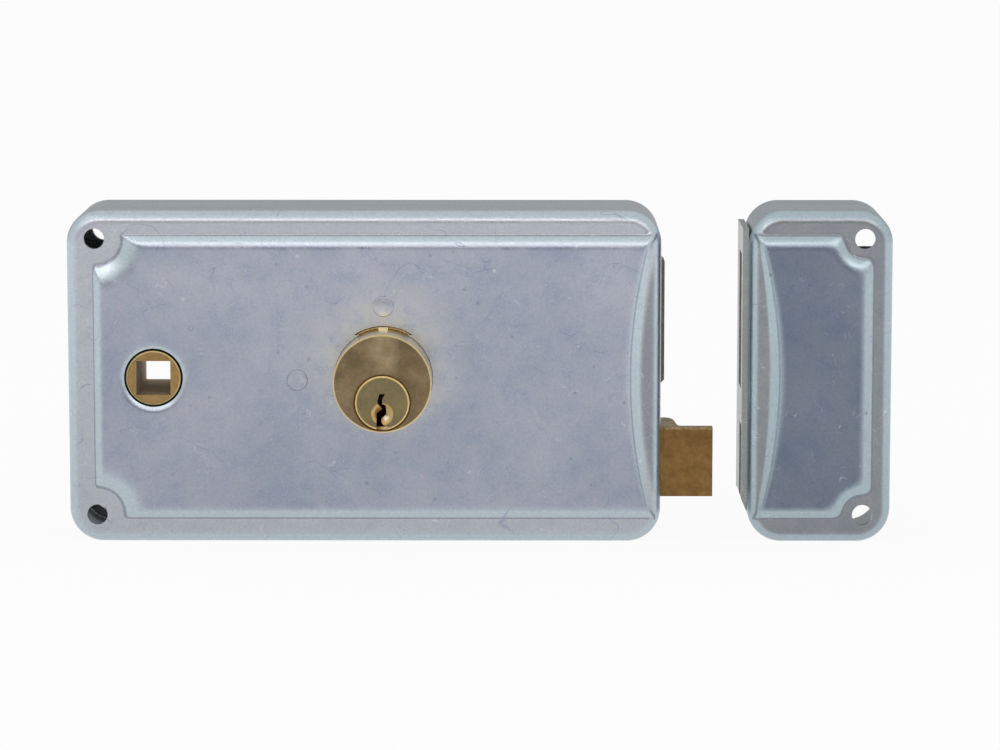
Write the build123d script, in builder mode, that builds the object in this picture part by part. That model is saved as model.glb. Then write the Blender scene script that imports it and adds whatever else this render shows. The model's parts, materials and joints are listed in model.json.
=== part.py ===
"""Rim box lock for a gate or door: case, cylinder, deadbolt, latch and keeper box.

Millimetres. X runs along the lock towards the keeper, Z is up, and Y runs from the
viewer to the door. The origin is the middle of the case's mounting face, so every
depth below is a distance in front of the door, along -Y.
"""

import os
from math import cos, radians, sin, sqrt

from build123d import *

os.makedirs("parts", exist_ok=True)

# Pressed steel case
case_width = 140
case_height = 79
case_depth = 26
sheet = 1.2
corner_radius = 8
edge_radius = 3
hole_inset = 6.7
screw_hole_radius = 2.4
door_hole_radius = 2.9

# Raised panel of the case and the keeper
panel_rise = 1.3
panel_root = 0.4
rim_end = 5.7
slope_end = 1.9
cut_radius = 6.3
cut_slope = 3.35
waist_inset = 7.25
waist_slope = 2.6
shoulder_inset = 3.1
shoulder_slope = 0.4
panel_edge_radius = 1.2
case_rim = 6.2
case_slope = 1.5

# Fits
running_gap = 0.05
slide_gap = 0.3
cover_gap = 0.1
overrun = 1

# Pin cylinder
cylinder_place_share = 0.46714
cylinder_radius = 11.55
cylinder_stand = 9.8
cylinder_back = 10
cylinder_edge = 0.35
recess_gap = 0.8
recess_width = 13.8
flange_radius = 17
flange_thickness = 2
bracket_thickness = 2
rib_width = 2.3
rib_height = 0.6
rib_stand = 0.6
plug_radius = 6.5
plug_drop = 4.5
plug_stand = 0.2
plug_edge = 0.35
plug_seat = 1.6
spigot_radius = 4
spigot_flat = 3.2
spigot_end = 4.6
spigot_hole_radius = 5
keyway_height = 7.8
keyway_half = 0.8
keyway_top = 2.15
keyway_left_shares = ((-0.8, 0), (-1.4, 0.2), (-1.3, 0.29), (-0.1, 0.46), (-1.7, 0.61), (-1.7, 1))
keyway_right_shares = (
    (0.8, 0),
    (0, 0.17),
    (0, 0.31),
    (1, 0.34),
    (1.2, 0.63),
    (-0.3, 0.76),
    (-0.2, 0.87),
    (0.9, 1),
)
plug_notch_width = 2.7
plug_notch_height = 1
plug_notch_depth = 1
guide_cone_drop = 2.6
clip_groove = 3
pin_spring_wire = 0.45
guide_cone_radius = 2.75
guide_cone_depth = 1.4
pin_radius = 1.35
pin_gap = 0.1
pin_count = 5
pin_pitch = 3.9
first_pin = 4.1
driver_length = 3.4
key_pin_length = 5.2
key_pin_tip = 0.8
chamber_cover = 0.6
tail_slot_width = 1.6
tail_slot_depth = 1.2

# Cam on the back of the plug
cam_back = 6.4
cam_thickness = 2.9
cam_radius = 5.5
finger_reach = 9.9
finger_radius = 1.5
key_turn = 90
clip_thickness = 0.8
clip_width = 1.2
clip_gap = 0.2

# Deadbolt
bolt_top_gap = 11.8
bolt_floor_drop = 2.9
bolt_thickness = 8
bolt_back = 9
bolt_proud = 1
bolt_length = 34
bolt_chamfer = 1.2
tail_thickness = 2.5
tail_lap = 17
tail_floor = 2
tail_neck = 11
tail_top = 23
tail_heel = 6.6
tail_wall = 2.5
notch_gap = 0.6
notch_flare = 0.9
notch_clear = 0.5
detent_depth = 1.2
bolt_rivet_radius = 2
bolt_rivet_floor = 3.4
bolt_rivet_ceiling = 8.3

# Latch
latch_top_drop = 12.85
latch_bottom_gap = 10.15
latch_reach = 12.5
latch_front = 20
latch_back = 3.5
blade = 3.2
root_reach = 1.6
shoulder_reach = 5.1
latch_block = 16
latch_tongue = 8
latch_rivet_radius = 1.5
latch_rivet_spread = 2.1
latch_tail_back = 10
latch_tail_height = 6
crank_offset = 11.6
crank_drop = 3.2
ear_width = 3
ear_lap = 5
ear_gap = 0.5
peg_radius = 1.8
peg_gap = 0.6

# Follower turned by the handle's square spindle
hub_inset = 20.4
hub_radius = 6.45
hub_hole_radius = 6.95
hub_hole_round = 0.7
hub_barrel = 9
hub_square = 8.1
hub_stand = 0.2
hub_shoulder = 0.5
hub_chamfer = 0.5
arm_gap = 0.9
arm_tip = 2.2
arm_root = 3

# Posts between the panel and the back plate
post_radius = 3
post_head_radius = 2.4
guide_post_rise = 17
lever_post_offset = 20.3
lever_post_drop = 0.5
screw_radius = 1.25
screw_head_radius = 2.4
screw_head = 1.2
screw_length = 7
ear_margin = 1.5

# Lever by which the key draws the latch
lever_thickness = 2
lever_back = 6.5
lever_hub = 5.5
lever_tip = 2.2
lever_arm = 8.2
lever_arm_drop = 1.5
lever_arm_tip = 1.6

# Guides and springs inside
guide_thickness = 1.5
guide_inset = 14
guide_front = 21.6
guide_margin = 4
guide_foot = 5.5
guide_rivet_radius = 1.5
spring_guide_offset = 15.4
latch_spring_radius = 3.1
latch_spring_wire = 0.8
latch_spring_turns = 8
stud_radius = 2
stud_inset = 37
stud_rise = 5.5
stud_front = 11
leaf_thickness = 0.5
leaf_bump_offset = 9.4
leaf_rise = 1
leaf_lead = 6

# Keeper box
keeper_gap = 19.2
keeper_width = 33.8
keeper_rim = 4.4
keeper_slope = 3.2
side_plate = 1.4
side_top_gap = 4.6
side_bottom_gap = 7.2
side_front = 22.5
side_taper = 2.8
side_tip = 0.2
slot_margin = 0.8
latch_slot_back = 13.4
latch_slot_front = 21

# Places that follow from these sizes
panel_face = case_depth + panel_rise
panel_back = panel_face - sheet
right_face = case_width / 2
cylinder_x = right_face - cylinder_place_share * case_width
cylinder_front = panel_face + cylinder_stand
plug_z = -plug_drop
plug_back = cylinder_back + plug_seat
hub_x = hub_inset - right_face
bolt_top = case_height / 2 - bolt_top_gap
bolt_bottom = -bolt_floor_drop
bolt_height = bolt_top - bolt_bottom
bolt_rise = (bolt_top + bolt_bottom) / 2
latch_top = -latch_top_drop
latch_bottom = latch_bottom_gap - case_height / 2
latch_height = latch_top - latch_bottom
latch_drop = -(latch_top + latch_bottom) / 2
stud_z = tail_top + stud_rise
stud_x = right_face - stud_inset
guide_x = right_face - guide_inset
spring_guide_x = cylinder_x + spring_guide_offset
leaf_bump_x = cylinder_x + leaf_bump_offset
crank_x = hub_x + crank_offset
arm_length = latch_drop + latch_tail_height / 2 - arm_gap - arm_tip
lever_length = latch_drop - lever_post_drop
hole_x = right_face - hole_inset
hole_z = case_height / 2 - hole_inset
guide_post = (cylinder_x, guide_post_rise)
lever_post = (cylinder_x - lever_post_offset, -lever_post_drop)
half_turn = key_turn / 2
bolt_throw = 2 * finger_reach * sin(radians(half_turn))
tail_back = bolt_back - tail_thickness
bolt_end = right_face + bolt_proud
bolt_rear = bolt_end - bolt_length
latch_tip = right_face + latch_reach
latch_root = right_face + root_reach
latch_rear = latch_root - latch_block
tongue_rear = latch_rear - latch_tongue
latch_tail_front = latch_tail_back + tail_thickness
bolt_rivet_x = bolt_rear + tail_lap / 2
bolt_rivets = [(bolt_rivet_x, tail_floor + bolt_rivet_floor), (bolt_rivet_x, bolt_top - bolt_rivet_ceiling)]
tongue_middle = latch_rear - latch_tongue / 2
latch_rivets_at = [(tongue_middle + side * latch_rivet_spread, -latch_drop) for side in (-1, 1)]
peg_x = lever_post[0] - lever_tip - peg_gap - peg_radius
bolt_foot_x = guide_x + guide_thickness + guide_foot / 2
latch_foot_x = spring_guide_x - guide_foot / 2
guide_rivets_at = [
    (bolt_foot_x, bolt_top),
    (bolt_foot_x, latch_bottom),
    (latch_foot_x, latch_top),
    (latch_foot_x, latch_bottom),
]
pin_depths = [cylinder_front - first_pin - pin_pitch * index for index in range(pin_count)]
plug_front = cylinder_front + plug_stand
cam_front = cam_back + cam_thickness
clip_back = cam_back - clip_gap - clip_thickness
chamber_radius = pin_radius + pin_gap
keeper_left = right_face + keeper_gap
keeper_right = keeper_left + side_plate + keeper_width
keeper_hole_x = keeper_right - hole_inset
keeper_x = keeper_left + side_plate + keeper_width / 2
flange_front = panel_back - bracket_thickness
flange_back = flange_front - flange_thickness
flange_screw_offset = (cylinder_radius + flange_radius) / 2 * cos(radians(45))
flange_screws = [(cylinder_x + flange_screw_offset, side * flange_screw_offset) for side in (-1, 1)]
rib_slot_width = rib_width + 2 * cover_gap


def facing(depth, x=0, z=0):
    """Plane that faces the viewer, this far in front of the door, its origin at x, z."""
    return Plane(origin=(x, -depth, z), x_dir=(1, 0, 0), z_dir=(0, -1, 0))


def panel_outline(width, rim, slope, spread):
    """Face of the raised panel: spread 0 is its top edge and 1 the foot of its slope."""
    drawn_in = 1 - spread
    left = -width / 2 + rim + slope * drawn_in
    top = case_height / 2 - rim_end - slope_end * drawn_in
    waist = width / 2 - waist_inset + waist_slope * spread
    shoulder = width / 2 - shoulder_inset + shoulder_slope * spread
    cut = cut_radius + cut_slope * drawn_in
    screw_x = -width / 2 + hole_inset
    cut_x = screw_x + sqrt(cut**2 - (top - hole_z) ** 2)
    cut_z = hole_z - sqrt(cut**2 - (left - screw_x) ** 2)
    cut_mid = cut * cos(radians(45))
    with BuildLine() as outline:
        Line((cut_x, top), (shoulder, top))
        ThreePointArc((shoulder, top), (waist, 0), (shoulder, -top))
        Line((shoulder, -top), (cut_x, -top))
        ThreePointArc((cut_x, -top), (screw_x + cut_mid, cut_mid - hole_z), (left, -cut_z))
        Line((left, -cut_z), (left, cut_z))
        ThreePointArc((left, cut_z), (screw_x + cut_mid, hole_z - cut_mid), (cut_x, top))
    make_face(outline.edges())


def pressed_box(base, width, rim, slope, inset):
    """Drawn steel form on a base plane, or with an inset the space within its sheet."""
    with BuildPart() as form:
        with BuildSketch(base):
            RectangleRounded(width - 2 * inset, case_height - 2 * inset, corner_radius - inset)
        extrude(amount=case_depth - inset)
        fillet(form.edges().group_by(Axis.Y)[0], radius=edge_radius - inset)
        foot_spread = (panel_rise + panel_root) / panel_rise
        with BuildSketch(base.offset(case_depth - panel_root - inset)):
            panel_outline(width, rim, slope, foot_spread)
        with BuildSketch(base.offset(panel_face - inset)):
            panel_outline(width, rim, slope, 0)
        loft(ruled=True)
        if inset == 0:
            fillet(form.faces().sort_by(Axis.Y)[0].edges(), radius=panel_edge_radius)
    return form.part


def post(place):
    """Round post with a spigot riveted flush in the panel and a screw hole at its back."""
    with BuildPart() as turned:
        with BuildSketch(facing(sheet, *place)):
            Circle(post_radius)
        extrude(amount=panel_back - bracket_thickness - sheet)
        with BuildSketch(facing(panel_back - bracket_thickness, *place)):
            Circle(post_head_radius)
        extrude(amount=bracket_thickness + sheet)
        with BuildSketch(facing(sheet, *place)):
            Circle(screw_radius + running_gap)
        extrude(amount=screw_length, mode=Mode.SUBTRACT)
    return turned.part


# Front case: the drawn shell with its holes, and the two openings for the bolts
with BuildPart() as front_case:
    add(pressed_box(Plane.XZ, case_width, case_rim, case_slope, 0))
    add(pressed_box(Plane.XZ, case_width, case_rim, case_slope, sheet), mode=Mode.SUBTRACT)
    with BuildSketch(facing(case_depth - edge_radius)):
        with Locations((-hole_x, hole_z), (-hole_x, -hole_z)):
            Circle(screw_hole_radius)
    extrude(amount=edge_radius + panel_rise, mode=Mode.SUBTRACT)
    with BuildSketch(facing(panel_back - overrun)):
        with Locations((hub_x, 0)):
            Circle(hub_hole_radius)
        with Locations((cylinder_x, 0)):
            Circle(cylinder_radius + cover_gap)
        with Locations(guide_post, lever_post):
            Circle(post_head_radius)
    extrude(amount=sheet + 2 * overrun, mode=Mode.SUBTRACT)
    with BuildSketch(facing(panel_back - overrun, cylinder_x)):
        Circle(cylinder_radius + recess_gap)
        with Locations((0, cylinder_radius)):
            Rectangle(recess_width, 2 * cylinder_radius, mode=Mode.INTERSECT)
    extrude(amount=sheet + 2 * overrun, mode=Mode.SUBTRACT)
    hub_rim = front_case.edges().filter_by(GeomType.CIRCLE)
    hub_rim = hub_rim.filter_by(lambda edge: abs(edge.radius - hub_hole_radius) < running_gap)
    fillet(hub_rim.sort_by(Axis.Y)[0], radius=hub_hole_round)
    with BuildSketch(Plane.YZ.offset(right_face - sheet - overrun)):
        with Locations((-bolt_back - bolt_thickness / 2, bolt_rise)):
            Rectangle(bolt_thickness + 2 * slide_gap, bolt_height + 2 * slide_gap)
        with Locations((-(latch_back + latch_front) / 2, -latch_drop)):
            Rectangle(latch_front - latch_back + 2 * slide_gap, latch_height + 2 * slide_gap)
    extrude(amount=sheet + 2 * overrun, mode=Mode.SUBTRACT)

# Back plate: closes the case against the door
with BuildPart() as back_plate:
    with BuildSketch(Plane.XZ):
        inner_gap = sheet + cover_gap
        RectangleRounded(
            case_width - 2 * inner_gap, case_height - 2 * inner_gap, corner_radius - inner_gap
        )
        with Locations((-hole_x, hole_z), (-hole_x, -hole_z)):
            Circle(door_hole_radius, mode=Mode.SUBTRACT)
        with Locations((hub_x, 0)):
            Circle(hub_radius + running_gap, mode=Mode.SUBTRACT)
        with Locations((cylinder_x, plug_z)):
            Circle(spigot_hole_radius, mode=Mode.SUBTRACT)
        with Locations(*guide_rivets_at):
            Circle(guide_rivet_radius, mode=Mode.SUBTRACT)
    extrude(amount=sheet)
    with BuildSketch(Plane.XZ):
        with Locations(guide_post, lever_post):
            Circle(screw_radius + running_gap)
    extrude(amount=sheet, mode=Mode.SUBTRACT)
    with BuildSketch(Plane.XZ):
        with Locations(guide_post, lever_post):
            Circle(screw_head_radius + running_gap)
    extrude(amount=sheet / 2, mode=Mode.SUBTRACT)

# Screws that draw the back plate onto the posts, their heads flush with the door face
with BuildPart() as back_plate_screws:
    with BuildSketch(Plane.XZ):
        with Locations(guide_post, lever_post):
            Circle(screw_head_radius)
    extrude(amount=sheet / 2)
    with BuildSketch(facing(sheet / 2)):
        with Locations(guide_post, lever_post):
            Circle(screw_radius)
    extrude(amount=screw_length)

# Posts: one guides the tail of the deadbolt, the other carries the latch lever
with BuildPart() as bolt_guide_post:
    add(post(guide_post))

with BuildPart() as lever_pivot_post:
    add(post(lever_post))

# Bracket behind the panel: held by both posts, it backs the flange of the cylinder
with BuildPart() as cylinder_bracket:
    with BuildSketch(facing(flange_front)):
        with Locations((cylinder_x, 0)):
            Circle(flange_radius)
        with Locations(guide_post, lever_post):
            Circle(post_radius + ear_margin)
        with Locations((lever_post[0] / 2 + cylinder_x / 2, lever_post[1])):
            Rectangle(lever_post_offset, 2 * post_radius)
        with Locations((cylinder_x, 0)):
            Circle(cylinder_radius + cover_gap, mode=Mode.SUBTRACT)
        with Locations((cylinder_x, cylinder_radius)):
            Rectangle(rib_slot_width, 2 * (rib_height + cover_gap), mode=Mode.SUBTRACT)
        with Locations(guide_post, lever_post):
            Circle(post_head_radius, mode=Mode.SUBTRACT)
        with Locations(*flange_screws):
            Circle(screw_radius, mode=Mode.SUBTRACT)
    extrude(amount=bracket_thickness)


# Screws through the cylinder's flange into the bracket
with BuildPart() as cylinder_screws:
    with BuildSketch(facing(flange_back - screw_head)):
        with Locations(*flange_screws):
            Circle(screw_head_radius)
    extrude(amount=screw_head)
    with BuildSketch(facing(flange_back)):
        with Locations(*flange_screws):
            Circle(screw_radius)
    extrude(amount=flange_thickness + bracket_thickness)

# Cylinder: brass barrel with a locating rib, an inner flange and the bore for the plug
with BuildPart() as cylinder_body:
    with BuildSketch(facing(cylinder_back, cylinder_x)):
        Circle(cylinder_radius)
    extrude(amount=cylinder_front - cylinder_back)
    chamfer(cylinder_body.edges().sort_by(Axis.Y)[0], length=cylinder_edge)
    with BuildSketch(facing(flange_back, cylinder_x)):
        Circle(flange_radius)
    extrude(amount=flange_thickness)
    with BuildSketch(facing(flange_back)):
        with Locations(*flange_screws):
            Circle(screw_radius)
        with Locations(guide_post):
            Circle(post_radius + slide_gap)
    extrude(amount=flange_thickness, mode=Mode.SUBTRACT)
    with BuildSketch(facing(flange_front, cylinder_x)):
        with Locations((0, cylinder_radius)):
            Rectangle(rib_width, 2 * rib_height)
    extrude(amount=bracket_thickness + sheet + rib_stand)
    with BuildSketch(facing(cylinder_back, cylinder_x, plug_z)):
        Circle(spigot_radius + running_gap)
    extrude(amount=plug_seat, mode=Mode.SUBTRACT)
    with BuildSketch(facing(plug_back, cylinder_x, plug_z)):
        Circle(plug_radius + running_gap)
    extrude(amount=cylinder_front - plug_back, mode=Mode.SUBTRACT)
    with BuildSketch(Plane.XY.offset(plug_z)):
        with Locations(*[(cylinder_x, -depth) for depth in pin_depths]):
            Circle(chamber_radius)
    extrude(amount=cylinder_radius - chamber_cover - plug_z, mode=Mode.SUBTRACT)

# Plug: turned brass with the keyway, a guide cone for the key and a flatted spigot
with BuildPart() as plug:
    with BuildSketch(facing(plug_back + running_gap, cylinder_x, plug_z)):
        Circle(plug_radius)
    extrude(amount=plug_front - plug_back - running_gap)
    chamfer(plug.edges().sort_by(Axis.Y)[0], length=plug_edge)
    with BuildSketch(facing(cam_front + running_gap, cylinder_x, plug_z)):
        Circle(spigot_radius)
    extrude(amount=plug_back - cam_front)
    with BuildSketch(facing(spigot_end, cylinder_x, plug_z)):
        Circle(spigot_radius)
        Rectangle(2 * spigot_flat, 2 * spigot_radius, mode=Mode.INTERSECT)
    extrude(amount=cam_front + running_gap - spigot_end)
    with BuildSketch(facing(clip_back - running_gap, cylinder_x, plug_z)):
        Circle(spigot_radius + overrun)
        Circle(clip_groove, mode=Mode.SUBTRACT)
    extrude(amount=clip_thickness + 2 * running_gap, mode=Mode.SUBTRACT)
    with BuildSketch(facing(spigot_end, cylinder_x, plug_z)):
        Rectangle(tail_slot_width, 2 * spigot_radius)
    extrude(amount=clip_back - spigot_end - clip_gap, mode=Mode.SUBTRACT)
    with BuildSketch(facing(plug_back, cylinder_x, plug_z)):
        with BuildLine():
            keyway_edge = [
                (x_share * keyway_half, keyway_top - z_share * keyway_height)
                for x_share, z_share in (*keyway_left_shares, *reversed(keyway_right_shares))
            ]
            Polyline(*keyway_edge, close=True)
        make_face()
    extrude(amount=plug_front - plug_back, mode=Mode.SUBTRACT)
    with BuildSketch(facing(plug_front - plug_notch_depth, cylinder_x, plug_z - plug_radius)):
        Rectangle(plug_notch_width, 2 * plug_notch_height)
    extrude(amount=plug_notch_depth, mode=Mode.SUBTRACT)
    with Locations(facing(plug_front - guide_cone_depth / 2, cylinder_x, plug_z - guide_cone_drop)):
        Cone(keyway_half, guide_cone_radius, guide_cone_depth, mode=Mode.SUBTRACT)
    with BuildSketch(Plane.XY.offset(plug_z)):
        with Locations(*[(cylinder_x, -depth) for depth in pin_depths]):
            Circle(chamber_radius)
    extrude(amount=plug_radius, mode=Mode.SUBTRACT)

# Pins: cut to the key's line, so that the gap between the two rows lies at the plug's edge
with BuildPart() as key_pins:
    key_pin_top = plug_z + sqrt(plug_radius**2 - pin_radius**2) - running_gap
    with BuildSketch(Plane.XY.offset(key_pin_top)):
        with Locations(*[(cylinder_x, -depth) for depth in pin_depths]):
            Circle(pin_radius)
    extrude(amount=-key_pin_length)
    chamfer(key_pins.edges().group_by(Axis.Z)[0], length=key_pin_tip)

with BuildPart() as driver_pins:
    driver_floor = plug_z + plug_radius + 2 * running_gap
    with BuildSketch(Plane.XY.offset(driver_floor)):
        with Locations(*[(cylinder_x, -depth) for depth in pin_depths]):
            Circle(pin_radius)
    extrude(amount=driver_length)

with BuildPart() as pin_springs:
    spring_floor = driver_floor + driver_length
    with BuildSketch(Plane.XY.offset(spring_floor)):
        with Locations(*[(cylinder_x, -depth) for depth in pin_depths]):
            Circle(pin_radius)
            Circle(pin_radius - pin_spring_wire, mode=Mode.SUBTRACT)
    extrude(amount=cylinder_radius - chamber_cover - spring_floor)

# Cam: turns with the plug, its finger drives the deadbolt's tail
with BuildPart() as cam:
    with BuildSketch(facing(cam_back, cylinder_x, plug_z)):
        Circle(cam_radius)
        lean = (-sin(radians(half_turn)), cos(radians(half_turn)))
        with Locations((lean[0] * finger_reach / 2, lean[1] * finger_reach / 2)):
            Rectangle(2 * finger_radius, finger_reach, rotation=half_turn)
        with Locations((lean[0] * finger_reach, lean[1] * finger_reach)):
            Circle(finger_radius)
        with BuildSketch(mode=Mode.PRIVATE) as flatted:
            Circle(spigot_radius + running_gap)
            Rectangle(2 * (spigot_flat + running_gap), 2 * cam_radius, mode=Mode.INTERSECT)
        add(flatted.sketch_local, mode=Mode.SUBTRACT)
    extrude(amount=cam_thickness)

# Clip that keeps the cam on the spigot
with BuildPart() as cam_clip:
    with BuildSketch(facing(clip_back, cylinder_x, plug_z)):
        Circle(spigot_radius + clip_width)
        Circle(clip_groove + running_gap, mode=Mode.SUBTRACT)
        with Locations((0, -spigot_radius)):
            Rectangle(clip_groove, 2 * spigot_radius - clip_groove, mode=Mode.SUBTRACT)
    extrude(amount=clip_thickness)

# Deadbolt: brass head, with a steel tail riveted to its back
with BuildPart() as deadbolt_head:
    with BuildSketch(facing(bolt_back, bolt_end - bolt_length / 2, bolt_rise)):
        Rectangle(bolt_length, bolt_height)
    extrude(amount=bolt_thickness)
    chamfer(deadbolt_head.edges().filter_by(Axis.Y).group_by(Axis.X)[-1], length=bolt_chamfer)
    with BuildSketch(facing(bolt_back)):
        with Locations(*bolt_rivets):
            Circle(bolt_rivet_radius)
    extrude(amount=bolt_thickness, mode=Mode.SUBTRACT)

with BuildPart() as deadbolt_tail:
    slot_half = post_radius + slide_gap
    arm_end = guide_post[0] - bolt_throw - slot_half - tail_wall
    notch_x = cylinder_x - bolt_throw / 2
    notch_half = finger_radius + notch_gap
    notch_top = plug_z + finger_reach + finger_radius + notch_clear
    notch_mouth = tail_floor + (notch_top - tail_floor) / 2
    with BuildSketch(facing(tail_back)):
        with BuildLine():
            Polyline(
                (bolt_rear + tail_lap, tail_floor),
                (bolt_rear + tail_lap, tail_top),
                (arm_end, tail_top),
                (arm_end, tail_neck),
                (notch_x - tail_heel, tail_neck),
                (notch_x - tail_heel, tail_floor),
                close=True,
            )
        make_face()
        with Locations((guide_post[0] - bolt_throw / 2, guide_post_rise)):
            SlotCenterToCenter(bolt_throw, 2 * slot_half, mode=Mode.SUBTRACT)
        with BuildLine():
            Polyline(
                (notch_x - notch_half, notch_top),
                (notch_x + notch_half, notch_top),
                (notch_x + notch_half, notch_mouth),
                (notch_x + notch_half + notch_flare, tail_floor),
                (notch_x + notch_half + notch_flare, tail_floor - overrun),
                (notch_x - notch_half - notch_flare, tail_floor - overrun),
                (notch_x - notch_half - notch_flare, tail_floor),
                (notch_x - notch_half, notch_mouth),
                close=True,
            )
        make_face(mode=Mode.SUBTRACT)
        with Locations((leaf_bump_x, tail_top), (leaf_bump_x - bolt_throw, tail_top)):
            Rectangle(detent_depth * sqrt(2), detent_depth * sqrt(2), rotation=45, mode=Mode.SUBTRACT)
        with Locations(*bolt_rivets):
            Circle(bolt_rivet_radius, mode=Mode.SUBTRACT)
    extrude(amount=tail_thickness)

with BuildPart() as deadbolt_rivets:
    with BuildSketch(facing(tail_back)):
        with Locations(*bolt_rivets):
            Circle(bolt_rivet_radius)
    extrude(amount=tail_thickness + bolt_thickness)

# Latch: brass head, a thin blade in front of a thick root, on a long steel tail
with BuildPart() as latch_head:
    blade_back = latch_front - blade
    with BuildSketch(Plane.XY.offset(latch_bottom)):
        with BuildLine():
            Polyline(
                (latch_root, -latch_back),
                (latch_rear, -latch_back),
                (latch_rear, -latch_tail_front),
                (tongue_rear, -latch_tail_front),
                (tongue_rear, -latch_front),
                (latch_tip, -latch_front),
                (latch_tip, -blade_back),
                (right_face + shoulder_reach, -blade_back),
            )
            Bezier(
                (right_face + shoulder_reach, -blade_back),
                (latch_root + root_reach, -blade_back),
                (latch_root + 2 * root_reach, -latch_back),
                (latch_root, -latch_back),
            )
        make_face()
    extrude(amount=latch_height)
    with BuildSketch(facing(latch_tail_front)):
        with Locations(*latch_rivets_at):
            Circle(latch_rivet_radius)
    extrude(amount=latch_front - latch_tail_front, mode=Mode.SUBTRACT)

with BuildPart() as latch_tail:
    tail_upper = latch_tail_height / 2 - latch_drop
    tail_lower = -latch_tail_height / 2 - latch_drop
    ear_right = hub_x - arm_tip - ear_gap
    with BuildSketch(facing(latch_tail_back)):
        with BuildLine():
            Polyline(
                (latch_rear, tail_lower),
                (latch_rear, tail_upper),
                (crank_x, tail_upper),
                (crank_x - crank_drop, tail_lower),
                (ear_right, tail_lower),
                (ear_right, ear_lap - arm_length),
                (ear_right - ear_width, ear_lap - arm_length),
                (ear_right - ear_width, tail_lower - crank_drop),
                (crank_x - crank_drop, tail_lower - crank_drop),
                (crank_x, tail_lower),
                close=True,
            )
        make_face()
        with Locations(*latch_rivets_at):
            Circle(latch_rivet_radius, mode=Mode.SUBTRACT)
        with Locations((peg_x, -latch_drop)):
            Circle(peg_radius, mode=Mode.SUBTRACT)
    extrude(amount=tail_thickness)

with BuildPart() as latch_rivets:
    with BuildSketch(facing(latch_tail_back)):
        with Locations(*latch_rivets_at):
            Circle(latch_rivet_radius)
    extrude(amount=latch_front - latch_tail_back)

with BuildPart() as latch_peg:
    with BuildSketch(facing(lever_back - slide_gap, peg_x, -latch_drop)):
        Circle(peg_radius)
    extrude(amount=latch_tail_front - lever_back + slide_gap)

# Follower: brass barrel with a square hole, its arm draws the latch back
with BuildPart() as hub:
    with BuildSketch(facing(slide_gap, hub_x)):
        Circle(hub_radius)
    extrude(amount=panel_face + hub_stand - slide_gap)
    chamfer(hub.edges().sort_by(Axis.Y)[0], length=hub_chamfer)
    with BuildSketch(facing(sheet + slide_gap, hub_x)):
        Circle(hub_barrel)
    extrude(amount=panel_back - hub_shoulder - sheet - slide_gap)
    with BuildSketch(facing(latch_tail_back, hub_x)):
        with BuildLine():
            Polyline(
                (-arm_root, 0),
                (arm_root, 0),
                (arm_tip, -arm_length),
                (-arm_tip, -arm_length),
                close=True,
            )
        make_face()
        with Locations((0, -arm_length)):
            Circle(arm_tip)
    extrude(amount=tail_thickness)
    with BuildSketch(facing(0, hub_x)):
        Rectangle(hub_square, hub_square)
    extrude(amount=panel_face + overrun, mode=Mode.SUBTRACT)

# Lever on the second post, through which the key draws the latch
with BuildPart() as latch_lever:
    with BuildSketch(facing(lever_back, *lever_post)):
        Circle(lever_hub)
        with BuildLine():
            Polyline(
                (-lever_tip, -lever_length),
                (-lever_tip, 0),
                (lever_tip, 0),
                (lever_tip, -lever_length),
                close=True,
            )
        make_face()
        with Locations((0, -lever_length)):
            Circle(lever_tip)
        with BuildLine():
            Polyline(
                (0, lever_tip),
                (lever_arm, lever_arm_tip - lever_arm_drop),
                (lever_arm, -lever_arm_tip - lever_arm_drop),
                (0, -lever_tip),
                close=True,
            )
        make_face()
        with Locations((lever_arm, -lever_arm_drop)):
            Circle(lever_arm_tip)
        Circle(post_radius + running_gap, mode=Mode.SUBTRACT)
    extrude(amount=lever_thickness)


def guide(at_x, low, high, front, windows, foot_rivets):
    """Upright steel guide on the back plate, bent at its foot, with windows for the bolts."""
    with BuildPart() as bent:
        with BuildSketch(Plane.YZ.offset(at_x)):
            with Locations((-(sheet + front) / 2, (low + high) / 2)):
                Rectangle(front - sheet, high - low)
            for back, fore, bottom, top in windows:
                with Locations((-(back + fore) / 2, (bottom + top) / 2)):
                    Rectangle(fore - back, top - bottom, mode=Mode.SUBTRACT)
        extrude(amount=guide_thickness)
        foot_x = foot_rivets[0][0]
        with BuildSketch(facing(sheet)):
            with Locations((foot_x, (low + high) / 2)):
                Rectangle(guide_foot, high - low)
            with Locations(*foot_rivets):
                Circle(guide_rivet_radius, mode=Mode.SUBTRACT)
        extrude(amount=guide_thickness)
    return bent.part


latch_window = (
    latch_back - slide_gap,
    latch_front + slide_gap,
    latch_bottom - slide_gap,
    latch_top + slide_gap,
)
bolt_window = (
    tail_back - slide_gap,
    bolt_back + bolt_thickness + slide_gap,
    bolt_bottom - slide_gap,
    max(bolt_top, tail_top) + slide_gap,
)
with BuildPart() as bolt_guide:
    add(
        guide(
            guide_x,
            latch_bottom - guide_margin,
            bolt_top + guide_margin,
            guide_front,
            (latch_window, bolt_window),
            guide_rivets_at[:2],
        )
    )

tail_window = (
    latch_tail_back - slide_gap,
    latch_tail_front + slide_gap,
    tail_lower - slide_gap,
    tail_upper + slide_gap,
)
with BuildPart() as latch_guide:
    add(
        guide(
            spring_guide_x,
            latch_bottom - guide_margin / 2,
            latch_top + guide_margin / 2,
            latch_front,
            (tail_window,),
            guide_rivets_at[2:],
        )
    )

with BuildPart() as guide_rivets:
    with BuildSketch(Plane.XZ):
        with Locations(*guide_rivets_at):
            Circle(guide_rivet_radius)
    extrude(amount=sheet + guide_thickness)

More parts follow.
